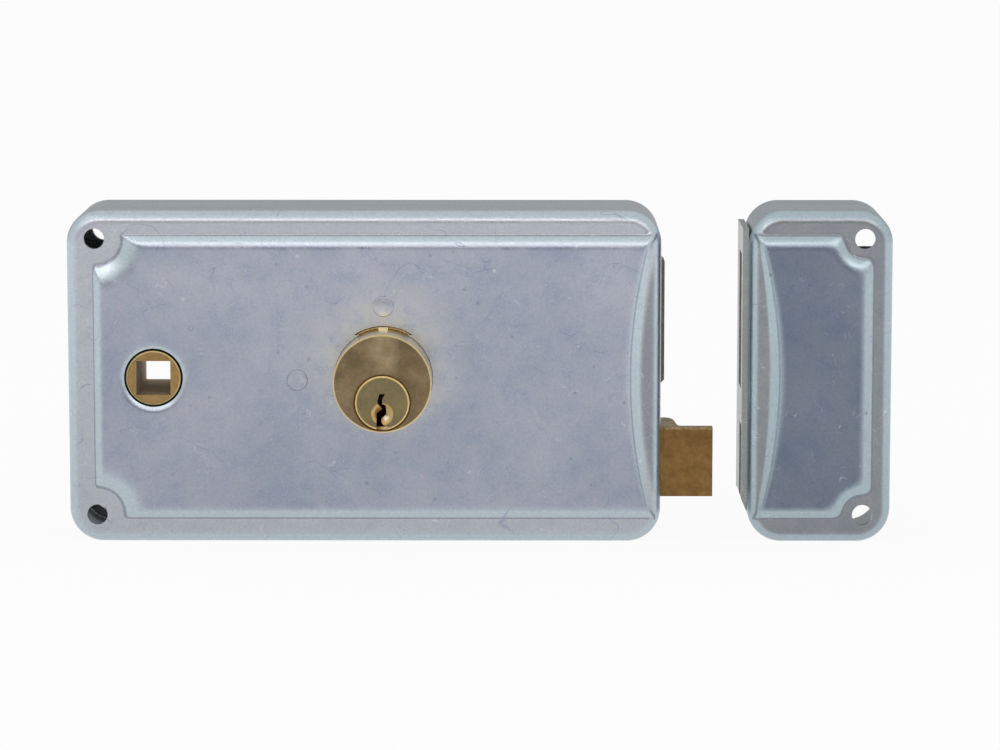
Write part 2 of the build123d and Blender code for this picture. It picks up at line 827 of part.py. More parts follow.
# Latch spring: coiled wire between its guide and the tongue of the latch
with BuildPart() as latch_spring:
    spring_start = spring_guide_x + guide_thickness + latch_spring_wire / 2 + running_gap
    spring_length = tongue_rear - spring_start - latch_spring_wire / 2 - running_gap
    spring_depth = (latch_tail_front + latch_front) / 2
    spring_line = Helix(
        pitch=spring_length / latch_spring_turns,
        height=spring_length,
        radius=latch_spring_radius,
        center=(spring_start, -spring_depth, -latch_drop),
        direction=(1, 0, 0),
    )
    with BuildSketch(Plane(origin=spring_line @ 0, z_dir=spring_line % 0)):
        Circle(latch_spring_wire / 2)
    sweep(path=spring_line, is_frenet=True)

# Stud and leaf spring that click into the deadbolt's tail at both ends of its throw
with BuildPart() as spring_stud:
    with BuildSketch(facing(sheet, stud_x, stud_z)):
        Circle(stud_radius)
    extrude(amount=stud_front - sheet)

with BuildPart() as detent_spring:
    leaf_z = tail_top + leaf_thickness
    eye_radius = stud_radius + running_gap + leaf_thickness
    with BuildSketch(facing(tail_back + running_gap)):
        with Locations((stud_x, stud_z)):
            Circle(eye_radius)
            Circle(eye_radius - leaf_thickness, mode=Mode.SUBTRACT)
        with BuildLine() as leaf_line:
            run = Polyline(
                (stud_x, stud_z - eye_radius + leaf_thickness / 2),
                (leaf_bump_x + detent_depth, leaf_z),
                (leaf_bump_x, leaf_z - detent_depth),
                (leaf_bump_x - detent_depth, leaf_z),
                (leaf_bump_x - leaf_lead, leaf_z + leaf_rise),
            )
        trace(run, line_width=leaf_thickness)
    extrude(amount=tail_thickness - 2 * running_gap)

# Keeper box: the same pressing at another width, its waist towards the lock
keeper_base = Plane(origin=(keeper_x, 0, 0), x_dir=(-1, 0, 0), z_dir=(0, -1, 0))
side_low = side_bottom_gap - case_height / 2
side_high = case_height / 2 - side_top_gap
latch_slot_low = latch_bottom - slot_margin
bolt_slot_high = bolt_top + slot_margin
with BuildPart() as keeper_shell:
    add(pressed_box(keeper_base, keeper_width, keeper_rim, keeper_slope, 0))
    add(pressed_box(keeper_base, keeper_width, keeper_rim, keeper_slope, sheet), mode=Mode.SUBTRACT)
    with BuildSketch(facing(case_depth - edge_radius)):
        with Locations((keeper_hole_x, hole_z), (keeper_hole_x, -hole_z)):
            Circle(screw_hole_radius)
    extrude(amount=edge_radius + panel_rise, mode=Mode.SUBTRACT)
    with BuildSketch(Plane.YZ.offset(keeper_left + side_plate - overrun)):
        with Locations((-latch_slot_front / 2, (latch_slot_low + bolt_slot_high) / 2)):
            Rectangle(latch_slot_front, bolt_slot_high - latch_slot_low)
    extrude(amount=sheet + 2 * overrun, mode=Mode.SUBTRACT)

# Keeper plate: bent steel, slotted for both bolts at the side and flat against the door frame
bolt_slot_width = bolt_thickness + 2 * slot_margin
bolt_slot_height = bolt_height + 2 * slot_margin
latch_slot_width = latch_slot_front - latch_slot_back
latch_slot_height = latch_height + 2 * slot_margin
with BuildPart() as keeper_plate:
    with BuildSketch(Plane.XZ):
        with BuildLine():
            Polyline(
                (keeper_left, side_high),
                (keeper_left + side_plate, side_high),
                (keeper_left + side_plate, side_low),
                (keeper_left + side_plate - side_tip, side_low),
                (keeper_left, side_low + side_taper),
                close=True,
            )
        make_face()
    extrude(amount=side_front)
    with BuildSketch(Plane.YZ.offset(keeper_left)):
        with Locations((-bolt_back - bolt_thickness / 2, bolt_rise)):
            Rectangle(bolt_slot_width, bolt_slot_height)
        with Locations((-(latch_slot_back + latch_slot_front) / 2, -latch_drop)):
            Rectangle(latch_slot_width, latch_slot_height)
    extrude(amount=side_plate, mode=Mode.SUBTRACT)
    leg_width = keeper_right - keeper_left - sheet - cover_gap
    leg_height = bolt_slot_high - latch_slot_low - 2 * cover_gap
    with BuildSketch(Plane.XZ):
        with Locations((keeper_left + leg_width / 2, (latch_slot_low + bolt_slot_high) / 2)):
            Rectangle(leg_width, leg_height)
    extrude(amount=sheet)

for piece, name in (
    (front_case, "front_case"),
    (back_plate, "back_plate"),
    (back_plate_screws, "back_plate_screws"),
    (bolt_guide_post, "bolt_guide_post"),
    (lever_pivot_post, "lever_pivot_post"),
    (cylinder_bracket, "cylinder_bracket"),
    (cylinder_screws, "cylinder_screws"),
    (cylinder_body, "cylinder_body"),
    (plug, "plug"),
    (key_pins, "key_pins"),
    (driver_pins, "driver_pins"),
    (pin_springs, "pin_springs"),
    (cam, "cam"),
    (cam_clip, "cam_clip"),
    (deadbolt_head, "deadbolt_head"),
    (deadbolt_tail, "deadbolt_tail"),
    (deadbolt_rivets, "deadbolt_rivets"),
    (latch_head, "latch_head"),
    (latch_tail, "latch_tail"),
    (latch_rivets, "latch_rivets"),
    (latch_peg, "latch_peg"),
    (hub, "hub"),
    (latch_lever, "latch_lever"),
    (bolt_guide, "bolt_guide"),
    (latch_guide, "latch_guide"),
    (guide_rivets, "guide_rivets"),
    (latch_spring, "latch_spring"),
    (spring_stud, "spring_stud"),
    (detent_spring, "detent_spring"),
    (keeper_shell, "keeper_shell"),
    (keeper_plate, "keeper_plate"),
):
    piece.part.label = name
    export_step(piece.part, f"parts/{name}.step")
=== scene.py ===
"""Rim box lock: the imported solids, dressed in zinc-plated steel and brass."""

import json
import math

import bmesh
import bpy
import numpy as np
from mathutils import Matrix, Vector


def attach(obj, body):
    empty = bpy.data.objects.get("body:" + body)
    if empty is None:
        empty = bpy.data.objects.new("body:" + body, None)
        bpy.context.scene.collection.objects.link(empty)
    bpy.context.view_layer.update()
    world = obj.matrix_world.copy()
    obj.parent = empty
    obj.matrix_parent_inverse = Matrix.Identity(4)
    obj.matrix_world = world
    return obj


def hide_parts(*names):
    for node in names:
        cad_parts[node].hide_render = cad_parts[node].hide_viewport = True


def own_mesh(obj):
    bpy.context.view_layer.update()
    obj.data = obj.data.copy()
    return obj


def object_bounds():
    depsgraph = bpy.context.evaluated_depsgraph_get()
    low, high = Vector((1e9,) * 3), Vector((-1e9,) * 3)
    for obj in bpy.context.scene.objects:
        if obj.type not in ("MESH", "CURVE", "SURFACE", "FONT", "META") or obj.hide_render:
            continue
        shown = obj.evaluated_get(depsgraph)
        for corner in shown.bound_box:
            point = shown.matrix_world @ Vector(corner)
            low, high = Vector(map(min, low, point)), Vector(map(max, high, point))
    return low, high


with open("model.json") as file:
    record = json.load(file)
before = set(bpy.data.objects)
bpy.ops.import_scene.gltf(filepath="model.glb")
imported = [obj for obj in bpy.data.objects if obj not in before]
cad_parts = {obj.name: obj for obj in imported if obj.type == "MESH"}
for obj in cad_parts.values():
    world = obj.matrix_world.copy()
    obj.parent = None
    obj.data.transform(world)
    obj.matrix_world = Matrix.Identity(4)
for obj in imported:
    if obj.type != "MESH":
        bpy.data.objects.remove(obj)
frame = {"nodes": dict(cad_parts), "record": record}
cad_box = [list(corner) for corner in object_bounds()]
nodes = frame["nodes"]
scene = bpy.context.scene

# Camera. A long lens in front of the lock, a little to the right of its middle
# and above it, looking slightly down.
camera_data = bpy.data.cameras.new("photo_camera")
camera_data.sensor_width = 36
camera_data.lens = 147.405
camera_data.clip_end = 20
camera = bpy.data.objects.new("photo_camera", camera_data)
camera.location = (0.0367343, -0.9813964, 0.1345008)
camera.rotation_euler = (math.radians(82.0217), 0, math.radians(0.2829))
scene.collection.objects.link(camera)
scene.camera = camera
scene.view_settings.view_transform = "Standard"

# Studio. A pale floor under the lock, a soft lamp at the left and a strip above the
# camera. The camera sees the world white; the metal mirrors it bright above, below
# and at the sides, and dimmer in front and behind.
FLOOR_REACH = 3
FLOOR_WHITENESS = 0.93
ROOM_LEVEL = 0.78
FRONT_LEVEL = 0.3
REAR_LEVEL = 0.42
LOCK_MIDDLE = (0.02, 0, 0)
floor_z = cad_box[0][2]


def add_node(tree, kind, *inputs, **settings):
    """Shader or geometry node; each input is (name or index, value or socket)."""
    made = tree.nodes.new(kind)
    for key, value in settings.items():
        setattr(made, key, value)
    for socket, value in inputs:
        if isinstance(value, bpy.types.NodeSocket):
            tree.links.new(value, made.inputs[socket])
        else:
            made.inputs[socket].default_value = value
    return made


def spread_of(tree, value, low, high, start=0.0, end=1.0, **settings):
    """Value stretched from one span to another, held at its ends."""
    return add_node(
        tree,
        "ShaderNodeMapRange",
        ("Value", value),
        ("From Min", low),
        ("From Max", high),
        ("To Min", start),
        ("To Max", end),
        **settings,
    ).outputs["Result"]


def math_of(tree, first, second, operation="ADD"):
    """One step of arithmetic between two values."""
    return add_node(
        tree, "ShaderNodeMath", (0, first), (1, second), operation=operation
    ).outputs[0]


def soft_light(name, place, width, height, power, colour=(1, 1, 1)):
    """Rectangular lamp that points at the lock."""
    lamp_data = bpy.data.lights.new(name, "AREA")
    lamp_data.shape = "RECTANGLE"
    lamp_data.size = width
    lamp_data.size_y = height
    lamp_data.energy = power
    lamp_data.color = colour
    lamp = bpy.data.objects.new(name, lamp_data)
    lamp.location = place
    aim = Vector(LOCK_MIDDLE) - Vector(place)
    lamp.rotation_euler = aim.to_track_quat("-Z", "Y").to_euler()
    scene.collection.objects.link(lamp)


world = bpy.data.worlds.new("studio")
scene.world = world
world.use_nodes = True
sky = world.node_tree
sky.nodes.clear()
direction = add_node(sky, "ShaderNodeTexCoord").outputs["Generated"]
backwards = add_node(sky, "ShaderNodeSeparateXYZ", (0, direction)).outputs["Y"]
smooth = {"interpolation_type": "SMOOTHSTEP"}
front = spread_of(sky, backwards, -1.0, -0.7, FRONT_LEVEL, ROOM_LEVEL, **smooth)
rear = spread_of(sky, backwards, 0.3, 0.95, ROOM_LEVEL, REAR_LEVEL, **smooth)
around = math_of(sky, front, rear, "MINIMUM")
sky_rays = add_node(sky, "ShaderNodeLightPath").outputs
seen = math_of(sky, sky_rays["Is Camera Ray"], around, "MAXIMUM")
background = add_node(sky, "ShaderNodeBackground", ("Color", (1, 1, 1, 1)), ("Strength", seen))
add_node(sky, "ShaderNodeOutputWorld", ("Surface", background.outputs[0]))

floor_mesh = bpy.data.meshes.new("floor")
floor_corners = [
    (side_x * FLOOR_REACH, side_y * FLOOR_REACH, floor_z)
    for side_x, side_y in ((-1, -1), (1, -1), (1, 1), (-1, 1))
]
floor_mesh.from_pydata(floor_corners, [], [(0, 1, 2, 3)])
floor = bpy.data.objects.new("floor", floor_mesh)
scene.collection.objects.link(floor)
floor_paint = bpy.data.materials.new("pale_floor")
floor_paint.use_nodes = True
paint = floor_paint.node_tree
paint.nodes.clear()
paint_rays = add_node(paint, "ShaderNodeLightPath").outputs
direct = math_of(paint, paint_rays["Is Camera Ray"], paint_rays["Is Glossy Ray"], "MAXIMUM")
pale = add_node(paint, "ShaderNodeBsdfDiffuse", ("Color", (0.8, 0.8, 0.8, 1)))
white = add_node(paint, "ShaderNodeEmission", ("Color", (1, 1, 1, 1)), ("Strength", 1.0))
shown = math_of(paint, direct, FLOOR_WHITENESS, "MULTIPLY")
mixed = add_node(
    paint, "ShaderNodeMixShader", (0, shown), (1, pale.outputs[0]), (2, white.outputs[0])
)
add_node(paint, "ShaderNodeOutputMaterial", ("Surface", mixed.outputs[0]))
floor_mesh.materials.append(floor_paint)

soft_light("left_softbox", (-0.6, -0.7, 0.8), width=0.9, height=0.9, power=0.8)
soft_light(
    "strip_over_camera",
    (0.05, -1.0, 0.5),
    width=1.4,
    height=0.36,
    power=2.5,
    colour=(1.0, 0.94, 0.93),
)

# Case cover. Steel sheet 1.2 mm thick, drawn in a press to a box with rounded
# corners; a second stroke raises its panel, which is waisted at the right and
# cut in round the two screw holes. Zinc plated and blue passivated. Sizes are in mm.
MM = 0.001
CASE_WIDTH = 140
HEIGHT = 79.0
DEPTH = 26.0
RISE = 1.3
FACE = DEPTH + RISE
CORNER = 8.0
EDGE = 3.0
SHEET = 1.2
TOP_RIM = 5.7
TOP_SLOPE = 1.9
WAIST_INSET = 7.25
WAIST_SLOPE = 2.6
SHOULDER_INSET = 3.1
SHOULDER_SLOPE = 1.0
HOLE_INSET = 6.7
SCREW_HOLE = 2.4
CYLINDER_X = 4.6
CYLINDER_HOLE = 11.65
RECESS_RADIUS = 12.35
HUB_X = -49.6
HUB_HOLE = 8.6
POST_HOLE = 2.45
UPPER_POST = (4.6, 17.0)
LEFT_POST = (-15.7, -0.5)
waist_reach = HEIGHT / 2 - TOP_RIM - TOP_SLOPE


def soft_max(values, blend):
    """Largest of several fields, rounded where two of them meet."""
    top = values[0]
    for value in values[1:]:
        near = np.clip(0.5 + 0.5 * (value - top) / blend, 0, 1)
        top = top * (1 - near) + value * near + blend * near * (1 - near)
    return top


def pressed_depth(x, z, base, width, rim, slope, cut, cut_slope, swing):
    """Depth of the pressing's skin in front of the door, in mm, over points of its face.

    The base is the plain box with its rounded edge. The panel falls away by RISE over
    each slope: at the top, the left (rim, slope), the cut-in corners (cut, cut_slope)
    and the bowed right side. Swing rounds the corners between the straight slopes.
    """
    slope_meets_waist, rolled_edge, foot = 0.3, 0.9, 0.1
    half = width / 2
    top = (np.abs(z) - waist_reach) / TOP_SLOPE
    left = (-x - (half - rim - slope)) / slope
    bow = half - WAIST_INSET + (WAIST_INSET - SHOULDER_INSET) * (z / waist_reach) ** 2
    towards_shoulder = np.clip(np.abs(z) / waist_reach, 0, 1) ** 2
    bow_slope = WAIST_SLOPE - (WAIST_SLOPE - SHOULDER_SLOPE) * towards_shoulder
    right = (x - bow) / bow_slope
    from_hole = np.hypot(x + half - HOLE_INSET, np.abs(z) - (HEIGHT / 2 - HOLE_INSET))
    corner = (cut + cut_slope - from_hole) / cut_slope
    spread = soft_max([top, left, corner], swing)
    spread = soft_max([spread, right], slope_meets_waist)
    fall = soft_max([spread, np.zeros_like(spread)], rolled_edge)
    # Past its foot the slope dives, so that it can't lift the box's rounded edge; near
    # the right edge, where the two meet, the fold between them is softer.
    dive = 3 * np.maximum(fall - 1.25, 0)
    panel = FACE - RISE * (fall + dive)
    fold = foot + 0.4 * np.clip((x - half + 4) / 2, 0, 1)
    return soft_max([base, panel], fold)


def ring_stations(width, step):
    """Points round a rounded rectangle, as (side x, side z, angle), closer at its corners."""
    corner_steps, close_run, far_step = 26, 13.0, 3.2 * step
    half_x, half_z = width / 2 - CORNER, HEIGHT / 2 - CORNER
    turning_points = [(half_x, -half_z), (half_x, half_z), (-half_x, half_z), (-half_x, -half_z)]
    stations = []
    for side, start in enumerate(turning_points):
        end = turning_points[(side + 1) % 4]
        length = math.dist(start, end)
        marks = [0.0]
        while marks[-1] < length - 1e-6:
            to_corner = min(marks[-1], length - marks[-1])
            marks.append(min(length, marks[-1] + (step if to_corner < close_run else far_step)))
        for mark in marks:
            share = mark / length
            x = start[0] + (end[0] - start[0]) * share
            z = start[1] + (end[1] - start[1]) * share
            stations.append((x, z, math.radians(90 * side)))
        for turn in range(1, corner_steps):
            stations.append((*end, math.radians(90 * side + 90 * turn / corner_steps)))
    return np.array(stations)


def object_of(name, mesh):
    """Object in the scene from a finished bmesh."""
    data = bpy.data.meshes.new(name)
    mesh.to_mesh(data)
    mesh.free()
    made = bpy.data.objects.new(name, data)
    scene.collection.objects.link(made)
    return made


def pressing_rings(width):
    """Rings of a pressing as (inset, depth): up its wall, over its edge and in to its middle."""
    edge_steps, fine_step, coarse_step, fine_until = 14, 0.2, 0.3, 10.5
    rings = [(0.0, depth) for depth in (0.0, 7.7, 15.4, DEPTH - EDGE)]
    for turn in range(1, edge_steps + 1):
        angle = math.radians(90 * turn / edge_steps)
        rings.append((EDGE * (1 - math.cos(angle)), DEPTH - EDGE + EDGE * math.sin(angle)))
    inset = EDGE
    deepest = min(width / 2 - 0.8, 18.0)
    while inset < deepest:
        inset += fine_step if inset < fine_until else coarse_step
        rings.append((min(inset, deepest), DEPTH))
    return rings


def pressing(name, centre_x, width, panel, holes, mirrored=False):
    """Sheet pressed to a box with a raised panel, pierced by its cutters."""
    knee = 6  # inset past which the rings' corners stay a little round
    station_step = 0.6
    stations = ring_stations(width, station_step)
    count = len(stations)
    rings = pressing_rings(width)
    straight_x, straight_z = width / 2 - CORNER, HEIGHT / 2 - CORNER
    points = []
    for inset, base in rings:
        if inset < knee:
            radius = CORNER - inset
        else:
            radius = (CORNER - knee) * math.exp(-(inset - knee) / knee)
        centre_shift = inset - (CORNER - radius)
        scale_x = (straight_x - centre_shift) / straight_x
        scale_z = (straight_z - centre_shift) / straight_z
        x = stations[:, 0] * scale_x + radius * np.cos(stations[:, 2])
        z = stations[:, 1] * scale_z + radius * np.sin(stations[:, 2])
        depth = np.full(count, base)
        if base > DEPTH - EDGE:
            depth = pressed_depth(x, z, depth, width, **panel)
        points.append(np.stack([x, -depth, z], 1))
    points = np.concatenate(points)
    if mirrored:
        points[:, 0] *= -1
    points[:, 0] += centre_x
    mesh = bmesh.new()
    verts = [mesh.verts.new(point * MM) for point in points]
    faces = []
    for ring in range(len(rings) - 1):
        for index in range(count):
            after = (index + 1) % count
            a, b = ring * count + index, ring * count + after
            faces.append((verts[a], verts[b], verts[b + count], verts[a + count]))
    faces.append(verts[(len(rings) - 1) * count :])
    for face in faces:
        mesh.faces.new(face[::-1] if mirrored else face)
    bmesh.ops.remove_doubles(mesh, verts=mesh.verts, dist=1e-7)
    bmesh.ops.recalc_face_normals(mesh, faces=mesh.faces)
    skin = object_of(name, mesh)
    wall = skin.modifiers.new("sheet", "SOLIDIFY")
    wall.thickness = SHEET * MM
    wall.offset = -1
    for cutter in holes:
        opening = skin.modifiers.new("hole", "BOOLEAN")
        opening.operation = "DIFFERENCE"
        opening.solver = "EXACT"
        opening.object = cutter
    return skin


def prism(outline):
    """Cutter through the panel with this outline of (x, z) points."""
    back, front = 20, 30
    mesh = bmesh.new()
    rings = [
        [mesh.verts.new((x * MM, -depth * MM, z * MM)) for x, z in outline]
        for depth in (back, front)
    ]
    for side in range(len(outline)):
        after = (side + 1) % len(outline)
        mesh.faces.new((rings[0][side], rings[0][after], rings[1][after], rings[1][side]))
    mesh.faces.new(rings[0])
    mesh.faces.new(rings[1])
    bmesh.ops.recalc_face_normals(mesh, faces=mesh.faces)
    return object_of("cutter", mesh)


def arc(x, z, radius, start, end, steps):
    """Points of (x, z) along an arc, angles in degrees."""
    turns = [math.radians(start + (end - start) * step / steps) for step in range(steps + 1)]
    return [(x + radius * math.cos(turn), z + radius * math.sin(turn)) for turn in turns]


def drill(x, z, radius, sides=96):
    """Round cutter through the panel."""
    return prism(arc(x, z, radius, 0, 360, sides)[:-1])


def window(low, high):
    """Square cutter between two corners."""
    mesh = bmesh.new()
    bmesh.ops.create_cube(mesh, size=1)
    for vert in mesh.verts:
        vert.co = Vector(
            [(low[i] + high[i]) / 2 + vert.co[i] * (high[i] - low[i]) for i in range(3)]
        )
        vert.co *= MM
    return object_of("cutter", mesh)


def settle(piece, cutters=()):
    """Turns the modifiers into plain mesh and shades it smooth up to its real edges."""
    real_edge = 32
    graph = bpy.context.evaluated_depsgraph_get()
    data = bpy.data.meshes.new_from_object(piece.evaluated_get(graph))
    old = piece.data
    piece.modifiers.clear()
    piece.data = data
    data.name = piece.name
    bpy.data.meshes.remove(old)
    for cutter in cutters:
        bpy.data.objects.remove(cutter)
    data.shade_smooth()
    data.set_sharp_from_angle(angle=math.radians(real_edge))
    return piece


def dress(piece, material):
    """Gives a piece one material."""
    piece.data.materials.clear()
    piece.data.materials.append(material)


def metal(name, colour, roughness, metallic=1.0):
    """Metal with its tree, shader and object coordinates ready for its pattern."""
    made = bpy.data.materials.new(name)
    made.use_nodes = True
    tree = made.node_tree
    tree.nodes.clear()
    shader = add_node(
        tree,
        "ShaderNodeBsdfPrincipled",
        ("Base Color", (*colour, 1)),
        ("Metallic", metallic),
        ("Roughness", roughness),
    )
    add_node(tree, "ShaderNodeOutputMaterial", ("Surface", shader.outputs[0]))
    place = add_node(tree, "ShaderNodeTexCoord").outputs["Object"]
    return made, tree, shader, place


def share_of(tree, first, second):
    """One value times another, such as one mask inside another."""
    return math_of(tree, first, second, "MULTIPLY")


def off_zero(tree, value):
    """How far a value is from zero."""
    return math_of(tree, value, 0, "ABSOLUTE")


def distance_of(tree, place, point):
    """Distance of a place from a point, in metres."""
    return add_node(
        tree, "ShaderNodeVectorMath", (0, place), (1, point), operation="DISTANCE"
    ).outputs["Value"]


def moved(tree, place, shift=(0, 0, 0), stretch=(1, 1, 1)):
    """Coordinates of a pattern, moved and stretched."""
    return add_node(
        tree, "ShaderNodeMapping", ("Vector", place), ("Location", shift), ("Scale", stretch)
    ).outputs[0]


def blend_of(tree, factor, first, second, blend_type="MIX"):
    """Colour between two colours."""
    ends = [(*end, 1) if isinstance(end, tuple) else end for end in (first, second)]
    return add_node(
        tree,
        "ShaderNodeMix",
        ("Factor", factor),
        (6, ends[0]),
        (7, ends[1]),
        data_type="RGBA",
        blend_type=blend_type,
    ).outputs[2]


def clouds_of(tree, place, scale, detail=4.0, roughness=0.6, distortion=0.0):
    """Noise over the piece, scale in features to the metre."""
    return add_node(
        tree,
        "ShaderNodeTexNoise",
        ("Vector", place),
        ("Scale", scale),
        ("Detail", detail),
        ("Roughness", roughness),
        ("Distortion", distortion),
    ).outputs[0]


def hairs_of(tree, place, scale, width, few):
    """Hair scratches: thin level lines of a smooth noise, kept only in some places."""
    lines = clouds_of(tree, place, scale, 1.5, 0.5, 0.6)
    thin = spread_of(
        tree, off_zero(tree, math_of(tree, lines, 0.5, "SUBTRACT")), 0.0, width, 1.0, 0.0
    )
    where = spread_of(tree, clouds_of(tree, place, scale * 1.7, 2.0), few, few + 0.06)
    return share_of(tree, thin, where)


def finish_metal(tree, shader, body, relief, strength, distance):
    """Gives the shader its colour and its fine relief."""
    tree.links.new(body, shader.inputs["Base Color"])
    bump = add_node(
        tree, "ShaderNodeBump", ("Strength", strength), ("Distance", distance), ("Height", relief)
    )
    tree.links.new(bump.outputs[0], shader.inputs["Normal"])


def beyond_waist(tree, axes, start, way):
    """Distance past the top edge of the waist's bowed slope, in metres."""
    across = share_of(tree, axes["Z"], 1 / (waist_reach * MM))
    sag = (WAIST_INSET - SHOULDER_INSET) * MM * way
    curve = share_of(tree, share_of(tree, across, across), sag)
    past = math_of(tree, axes["X"], start * MM, "SUBTRACT")
    return share_of(tree, math_of(tree, past, curve, "SUBTRACT"), way)


# Painted shade at the foot of the panel's slopes
FOOT_SHADE = (0.2, 0.22, 0.28)
# Painted shade on the rim beyond the waist
SHADED_RIM = (0.17, 0.18, 0.21)
# Painted shade in the crease along the waist's top edge
CREASE_SHADE = (0.12, 0.16, 0.27)
WALL_DULL = (0.28, 0.31, 0.34)
WALL_BRIGHT = (0.62, 0.66, 0.69)
BLUE_HAIR = (0.26, 0.28, 0.42)
PALE_HAIR = (0.8, 0.81, 0.83)
PALE_FLECK = (0.72, 0.74, 0.76)
DARK_FLECK = (0.12, 0.15, 0.2)
RUBBED_GREY = (0.64, 0.62, 0.58)


def zinc(name, panel_dull, panel_bright, rim_colour, slope_reflection, seed, worn=None, waist=None):
    """Passivated zinc: clouded, with pale slopes that are a painted reflection, drawn walls,
    hair scratches and flecks.

    Worn is the (x, z) of a place rubbed grey. Waist is (x, way, shade): where the bowed
    slope starts, which way it faces, and how far the flat rim beyond it is darkened with
    painted shade.
    """
    made, tree, shader, place = metal(name, panel_dull, 0.3, 0.85)
    shifted = moved(tree, place, (seed, seed * 2, seed * 3))
    axes = add_node(tree, "ShaderNodeSeparateXYZ", (0, place)).outputs

    # Clouds of the passivated panel
    patch = clouds_of(tree, shifted, 45.0, 5.0, 0.62)
    blotch = clouds_of(tree, shifted, 210.0, 4.0, 0.7)
    grain = clouds_of(tree, shifted, 1500.0, 2.0, 0.7)
    body = blend_of(tree, spread_of(tree, patch, 0.36, 0.64), panel_dull, panel_bright)
    warm = tuple(part * share for part, share in zip(panel_bright, (1.09, 1.0, 0.98)))
    cool = tuple(part * share for part, share in zip(panel_dull, (0.75, 0.81, 0.92)))
    body = blend_of(tree, spread_of(tree, blotch, 0.5, 0.72, 0.0, 0.46), body, warm)
    body = blend_of(tree, spread_of(tree, blotch, 0.5, 0.3, 0.0, 0.42), body, cool)

    # Flat rim, pale slopes as painted reflection, and a dark painted-shade line at the panel's
    # foot
    rim = blend_of(tree, spread_of(tree, blotch, 0.3, 0.7, 0.0, 0.5), rim_colour, panel_bright)
    behind_rim = math_of(tree, axes["Y"], DEPTH * MM)
    off_rim = off_zero(tree, behind_rim)
    # Painted reflection: off the rim's level, the slopes, roundings and walls turn pale
    rim = blend_of(tree, spread_of(tree, off_rim, 0.06 * MM, 0.3 * MM), rim, slope_reflection)
    above_rim = share_of(tree, behind_rim, -1)
    # Painted shade: a dark line where the slope rises off the rim
    foot = share_of(
        tree,
        spread_of(tree, above_rim, 0.01 * MM, 0.05 * MM),
        spread_of(tree, above_rim, 0.16 * MM, 0.3 * MM, 0.65, 0.0),
    )
    if waist:
        start, way, beyond_shade = waist
        past_waist = beyond_waist(tree, axes, start, way)
        foot = share_of(tree, foot, spread_of(tree, past_waist, -0.4 * MM, 0.4 * MM, 1.0, 0.0))
    rim = blend_of(tree, foot, rim, FOOT_SHADE)
    off_panel = spread_of(tree, axes["Y"], -(FACE - 0.02) * MM, -(FACE - 0.3) * MM)
    body = blend_of(tree, off_panel, body, rim)

    # Painted shade: the rim darker beyond the waist, and a dark line in the crease at its top edge
    if waist:
        beyond = share_of(
            tree,
            spread_of(tree, past_waist, 1.9 * MM, 3.0 * MM),
            spread_of(tree, off_rim, 0.1 * MM, 0.5 * MM, beyond_shade, 0.0),
        )
        body = blend_of(tree, beyond, body, SHADED_RIM)
        # Painted shade: a dark line along the crease at the waist's top edge
        crease_shade_mask = spread_of(tree, off_zero(tree, past_waist), 0.05 * MM, 0.3 * MM, 0.5, 0.0)
        on_face = spread_of(tree, axes["Y"], -DEPTH * MM, -(DEPTH + 0.2) * MM)
        inside = spread_of(tree, off_zero(tree, axes["Z"]), 29 * MM, 33 * MM, 1.0, 0.0)
        crease_shade_mask = share_of(tree, share_of(tree, crease_shade_mask, on_face), inside)
        body = blend_of(tree, crease_shade_mask, body, CREASE_SHADE)

    # Streaks that the press draws along the side walls
    drawn = clouds_of(tree, moved(tree, shifted, stretch=(0.03, 1, 0.03)), 700.0, 3.0, 0.6)
    wall = spread_of(tree, axes["Y"], -23.2 * MM, -21.5 * MM)
    wall_tone = blend_of(tree, spread_of(tree, drawn, 0.3, 0.7), WALL_DULL, WALL_BRIGHT)
    body = blend_of(tree, share_of(tree, wall, 0.35), body, wall_tone)

    # Grain, and painted shade: a little darker towards the floor
    tone = share_of(
        tree,
        spread_of(tree, grain, 0.25, 0.75, 0.9, 1.08),
        spread_of(tree, axes["Z"], -40 * MM, 30 * MM, 0.86, 1.03),
    )
    body = blend_of(tree, 1.0, body, tone, "MULTIPLY")

    # Blue and pale hair scratches, then pale and dark flecks
    hairs = hairs_of(tree, shifted, 75.0, 0.003, 0.46)
    fine_hairs = hairs_of(tree, shifted, 150.0, 0.004, 0.54)
    body = blend_of(tree, share_of(tree, hairs, 0.62), body, BLUE_HAIR)
    body = blend_of(tree, share_of(tree, fine_hairs, 0.4), body, PALE_HAIR)
    cells = add_node(tree, "ShaderNodeTexVoronoi", ("Vector", shifted), ("Scale", 260.0)).outputs
    chosen = add_node(tree, "ShaderNodeSeparateColor", (0, cells["Color"])).outputs
    dot = spread_of(tree, cells["Distance"], 0.05, 0.16, 1.0, 0.0)
    pale_dot = share_of(tree, dot, spread_of(tree, chosen["Red"], 0.965, 0.97))
    dark_dot = share_of(tree, dot, spread_of(tree, chosen["Green"], 0.955, 0.96))
    body = blend_of(tree, share_of(tree, pale_dot, 0.55), body, PALE_FLECK)
    body = blend_of(tree, share_of(tree, dark_dot, 0.5), body, DARK_FLECK)

    # Place rubbed grey
    if worn:
        off_worn = distance_of(tree, place, (worn[0] * MM, -FACE * MM, worn[1] * MM))
        near = spread_of(tree, off_worn, 10 * MM, 20 * MM, 1.0, 0.0)
        near = share_of(tree, near, spread_of(tree, blotch, 0.3, 0.6))
        body = blend_of(tree, share_of(tree, near, 0.55), body, RUBBED_GREY)
    tree.links.new(spread_of(tree, blotch, 0.3, 0.7, 0.25, 0.35), shader.inputs["Roughness"])
    relief = math_of(tree, grain, share_of(tree, hairs, -0.8))
    finish_metal(tree, shader, body, relief, 0.16, 0.1 * MM)
    return made


